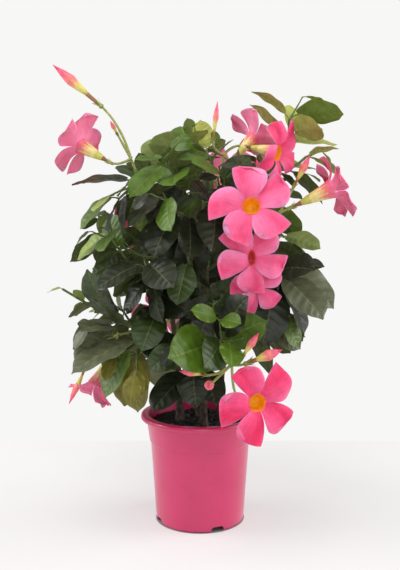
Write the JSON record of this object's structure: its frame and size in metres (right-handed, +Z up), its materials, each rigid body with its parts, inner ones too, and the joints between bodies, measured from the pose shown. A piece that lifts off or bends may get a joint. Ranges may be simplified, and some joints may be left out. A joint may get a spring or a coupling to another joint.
{
  "type": "potted mandevilla",
  "caption": "Twining shrub with broad opposite leaves and pink five-lobed trumpet flowers, growing in a round pink nursery pot of soil.",
  "frame": {"origin": "the middle of the pot's flat underside", "axes": "+Z up the plant, -Y towards its front, +X to the right as seen from the front"},
  "size_m": [0.3473, 0.2984, 0.529],
  "materials": {
    "pot": "satin moulded plastic, pink",
    "soil": "moist dark peat",
    "stem": "young brown bark",
    "bough": "green bark",
    "leaf": "smooth dark green leaf",
    "flower": "soft pink petal"
  },
  "bodies": {
    "root": {"bough_back_left": "bough", "bough_back_low": "bough", "bough_back_right": "bough", "bough_front_left": "bough", "bough_front_low": "bough", "bough_left_high": "bough", "bough_left_low": "bough", "bough_right_low": "bough", "bough_right_middle": "bough", "flowers_back_high": "flower", "flowers_back_left": "flower", "flowers_back_right": "flower", "flowers_centre": "flower", "flowers_front_low": "flower", "flowers_left_back": "flower", "flowers_left_high": "flower", "flowers_left_low": "flower", "flowers_right": "flower", "flowers_upper_right": "flower", "leaves_back_high": "leaf", "leaves_back_high_left": "leaf", "leaves_back_high_right": "leaf", "leaves_back_low": "leaf", "leaves_back_low_left": "leaf", "leaves_back_low_right": "leaf", "leaves_back_middle": "leaf", "leaves_back_middle_left": "leaf", "leaves_back_middle_right": "leaf", "leaves_back_upper": "leaf", "leaves_core_high": "leaf", "leaves_core_low": "leaf", "leaves_front_foot": "leaf", "leaves_front_high": "leaf", "leaves_front_high_left": "leaf", "leaves_front_left": "leaf", "leaves_front_low": "leaf", "leaves_front_middle": "leaf", "leaves_front_middle_left": "leaf", "leaves_front_middle_right": "leaf", "leaves_left_high": "leaf", "leaves_left_low": "leaf", "leaves_left_middle": "leaf", "leaves_left_side": "leaf", "leaves_left_side_low": "leaf", "leaves_left_sprig": "leaf", "leaves_right_high": "leaf", "leaves_right_low": "leaf", "leaves_right_middle": "leaf", "leaves_right_side": "leaf", "leaves_right_side_low": "leaf", "leaves_top_left": "leaf", "leaves_top_middle": "leaf", "leaves_top_right": "leaf", "pot": "pot", "soil": "soil", "stem_back": "stem", "stem_left": "stem", "stem_middle": "stem", "stem_right": "stem"}
  },
  "joints": []
}
